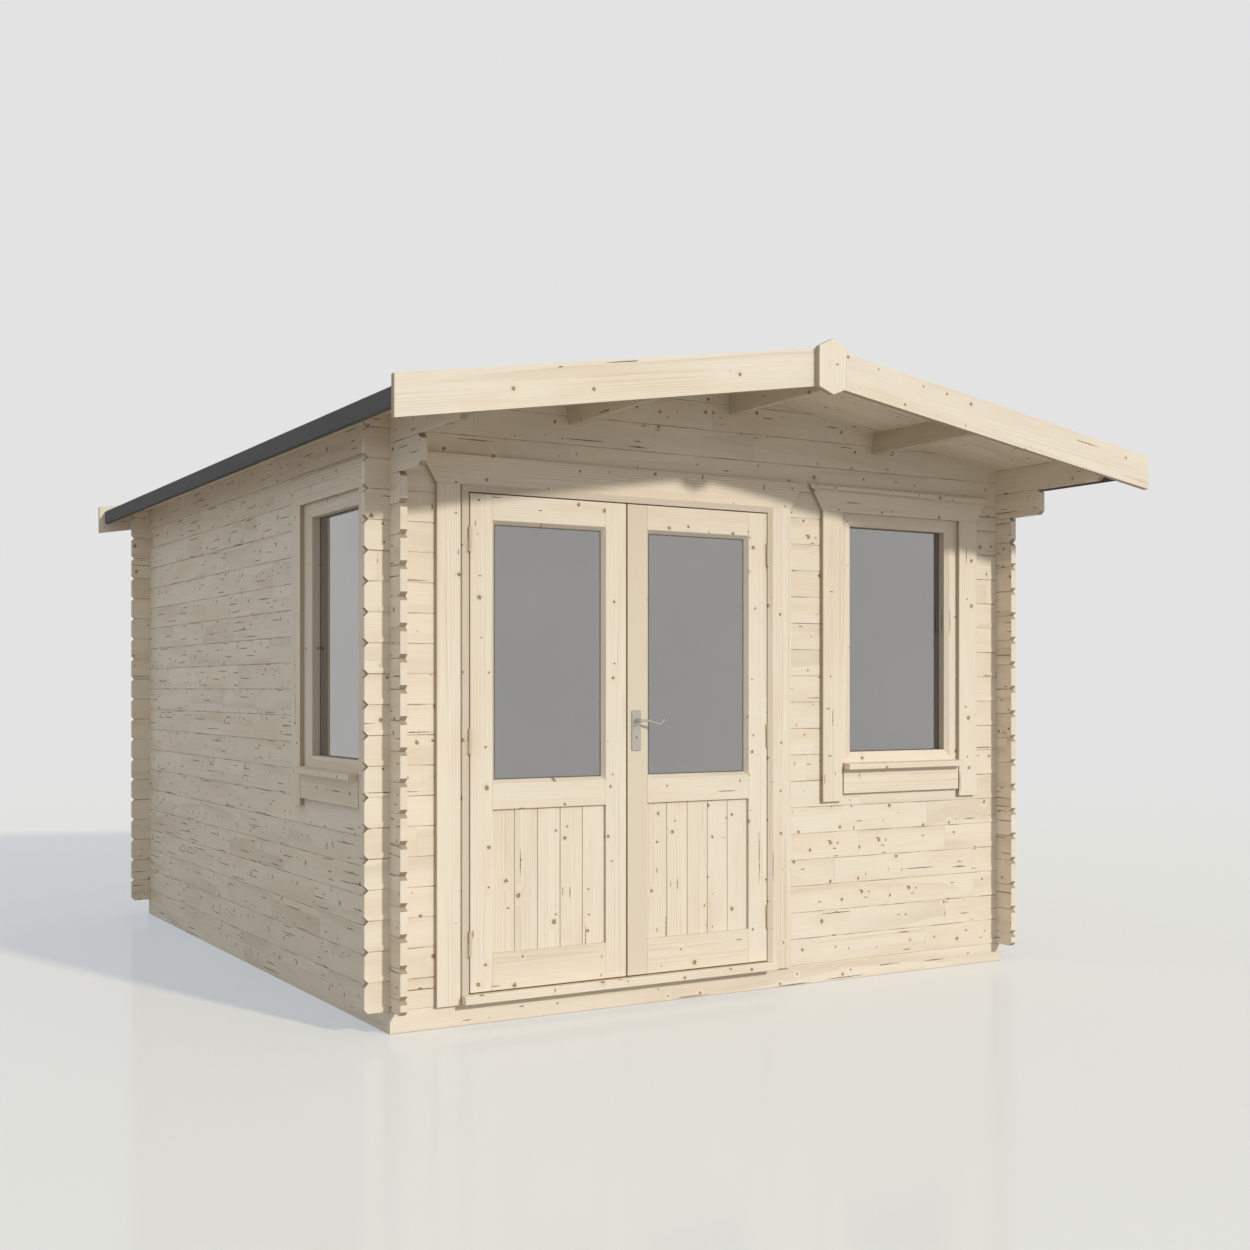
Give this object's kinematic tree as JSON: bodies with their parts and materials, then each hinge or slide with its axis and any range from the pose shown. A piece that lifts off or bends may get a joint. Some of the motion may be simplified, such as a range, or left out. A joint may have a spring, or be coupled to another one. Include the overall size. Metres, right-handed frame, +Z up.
{
  "type": "log cabin",
  "caption": "Small garden log cabin with a low pitched felt roof, notched log corners, glazed double doors, a front window and a side window.",
  "frame": {"origin": "on the ground, in the middle of the roof's outline seen from above", "axes": "+X along the front wall to the right seen from the front, +Y from the front to the back along the ridge, +Z up"},
  "size_m": [3.58, 4.448, 2.6277],
  "materials": {
    "log_wood": "untreated planed spruce",
    "floor_wood": "untreated planed spruce",
    "roof_wood": "untreated planed spruce",
    "trim_wood": "untreated planed spruce",
    "joinery_wood": "untreated sanded spruce",
    "roofing_felt": "mineral felt, matte",
    "grey_glass": "grey, polished",
    "satin_nickel": "satin",
    "yellow_zinc": "satin"
  },
  "bodies": {
    "cabin": {"bargeboards": "trim_wood", "door_casing": "trim_wood", "door_head": "joinery_wood", "door_header": "trim_wood", "door_jambs": "joinery_wood", "door_sill": "joinery_wood", "door_stops": "joinery_wood", "door_trims": "trim_wood", "eave_fascias": "roof_wood", "finials": "trim_wood", "floor_bearers": "floor_wood", "floor_boards": "floor_wood", "frame_hinge_halves": "yellow_zinc", "front_rear_base_logs": "log_wood", "front_wall_even_logs": "log_wood", "front_wall_odd_logs": "log_wood", "left_wall_even_logs": "log_wood", "left_wall_odd_logs": "log_wood", "purlins": "roof_wood", "rear_wall_even_logs": "log_wood", "rear_wall_odd_logs": "log_wood", "right_wall_even_logs": "log_wood", "right_wall_odd_logs": "log_wood", "roof_boards_left": "roof_wood", "roof_boards_right": "roof_wood", "roof_felt": "roofing_felt", "side_base_logs": "log_wood", "window_aprons": "trim_wood", "window_casings": "trim_wood", "window_frames": "joinery_wood", "window_headers": "trim_wood", "window_panes": "grey_glass", "window_sills": "trim_wood", "window_trims": "trim_wood"},
    "left_door": {"left_door_beads": "joinery_wood", "left_door_glass": "grey_glass", "left_door_hinge_halves": "yellow_zinc", "left_door_panel": "joinery_wood", "left_door_rails": "joinery_wood", "left_door_stiles": "joinery_wood"},
    "right_door": {"handle_plates": "satin_nickel", "right_door_beads": "joinery_wood", "right_door_glass": "grey_glass", "right_door_hinge_halves": "yellow_zinc", "right_door_panel": "joinery_wood", "right_door_rails": "joinery_wood", "right_door_stiles": "joinery_wood"},
    "door_handle": {"handle_lever": "satin_nickel"}
  },
  "joints": [
    {"name": "left_door_hinge", "type": "hinge", "parent": "cabin", "child": "left_door", "pos_m": [-1.226, -1.5745, 1.08], "axis": [0, 0, -1], "range_deg": [0, 110]},
    {"name": "right_door_hinge", "type": "hinge", "parent": "cabin", "child": "right_door", "pos_m": [0.164, -1.5745, 1.08], "axis": [0, 0, 1], "range_deg": [0, 110]},
    {"name": "handle_turn", "type": "hinge", "parent": "right_door", "child": "door_handle", "pos_m": [-0.4885, -1.546, 1.154], "axis": [0, 1, 0], "range_deg": [0, 45], "stiffness_Nm_per_rad": 1, "springref_deg": -22.92}
  ]
}
